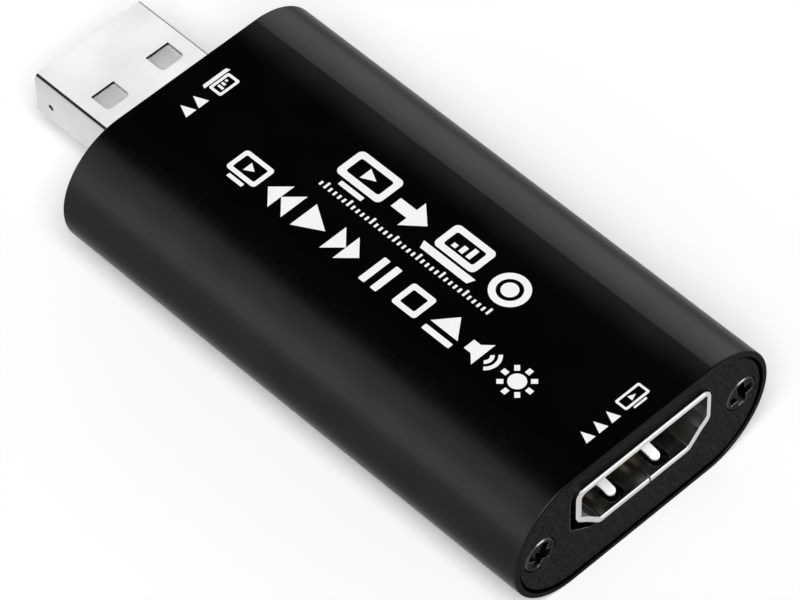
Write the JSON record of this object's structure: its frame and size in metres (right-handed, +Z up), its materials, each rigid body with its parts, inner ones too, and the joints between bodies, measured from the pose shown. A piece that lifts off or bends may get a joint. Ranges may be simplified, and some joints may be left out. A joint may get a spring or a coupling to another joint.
{
  "type": "video capture box",
  "caption": "Flat black aluminium video capture dongle with round flanks, a video socket in one end and a computer plug standing out of the other.",
  "frame": {"origin": "on the flat underside, at the middle of the overall length (plug tip to socket mouth) and width", "axes": "+X along the length towards the video socket, +Y across the width, +Z up out of the printed face"},
  "size_m": [0.0646, 0.0282, 0.0131],
  "materials": {
    "anodised_tube": "satin black anodised, fine along its length",
    "end_plates": "matte black, finely blasted",
    "black_screws": "black, slightly glossy",
    "board_laminate": "glass-epoxy laminate under black lacquer",
    "nickel_shells": "bright nickel-plated sheet",
    "socket_black_plastic": "matte black moulding",
    "plug_pale_plastic": "pale moulding",
    "gold_contacts": "gold-plated strip",
    "package_black": "matte black epoxy",
    "tinned_leads": "tinned",
    "solder": "smooth bright solder",
    "crystal_ceramic": "matte ceramic",
    "crystal_metal": "satin metal lid",
    "ferrite": "dark grey ferrite",
    "copper_wire": "enamelled copper",
    "capacitor_ceramic": "tan ceramic",
    "resistor_ceramic": "black film on ceramic",
    "tantalum_yellow": "yellow moulding",
    "fuse_green": "green polymer"
  },
  "bodies": {
    "housing": {"housing_tube": "anodised_tube", "socket_end_plate": "end_plates", "plug_end_plate": "end_plates", "socket_end_screws": "black_screws", "plug_end_screws": "black_screws", "circuit_board": "board_laminate", "socket_shell": "nickel_shells", "plug_shell": "nickel_shells", "socket_insulator": "socket_black_plastic", "plug_insulator": "plug_pale_plastic", "socket_upper_contacts": "gold_contacts", "socket_lower_contacts": "gold_contacts", "plug_contacts": "gold_contacts", "capture_chip": "package_black", "memory_chip": "package_black", "regulators": "package_black", "surge_arrays": "package_black", "capture_chip_leads": "tinned_leads", "memory_chip_leads": "tinned_leads", "regulator_leads": "tinned_leads", "capacitor_end_caps": "tinned_leads", "resistor_end_caps": "tinned_leads", "tantalum_end_caps": "tinned_leads", "fuse_end_caps": "tinned_leads", "solder_joints": "solder", "crystal_base": "crystal_ceramic", "crystal_lid": "crystal_metal", "inductor_core": "ferrite", "inductor_winding": "copper_wire", "ceramic_capacitors": "capacitor_ceramic", "chip_resistors": "resistor_ceramic", "tantalum_capacitor": "tantalum_yellow", "supply_fuse": "fuse_green"},
    "lower_left_spring": {"socket_spring_lower_left": "nickel_shells"},
    "lower_right_spring": {"socket_spring_lower_right": "nickel_shells"},
    "upper_left_spring": {"socket_spring_upper_left": "nickel_shells"},
    "upper_right_spring": {"socket_spring_upper_right": "nickel_shells"}
  },
  "joints": [
    {"name": "lower_left_spring_flex", "type": "hinge", "parent": "housing", "child": "lower_left_spring", "pos_m": [0.02593, -0.00256, 0.00566], "axis": [0, 1, 0], "range_deg": [0, 5.7], "stiffness_Nm_per_rad": 0.054},
    {"name": "lower_right_spring_flex", "type": "hinge", "parent": "housing", "child": "lower_right_spring", "pos_m": [0.02593, 0.0024, 0.00566], "axis": [0, 1, 0], "range_deg": [0, 5.7], "stiffness_Nm_per_rad": 0.054},
    {"name": "upper_left_spring_flex", "type": "hinge", "parent": "housing", "child": "upper_left_spring", "pos_m": [0.02593, -0.00256, 0.01056], "axis": [0, -1, 0], "range_deg": [0, 5.7], "stiffness_Nm_per_rad": 0.054},
    {"name": "upper_right_spring_flex", "type": "hinge", "parent": "housing", "child": "upper_right_spring", "pos_m": [0.02593, 0.0024, 0.01056], "axis": [0, -1, 0], "range_deg": [0, 5.7], "stiffness_Nm_per_rad": 0.054}
  ]
}
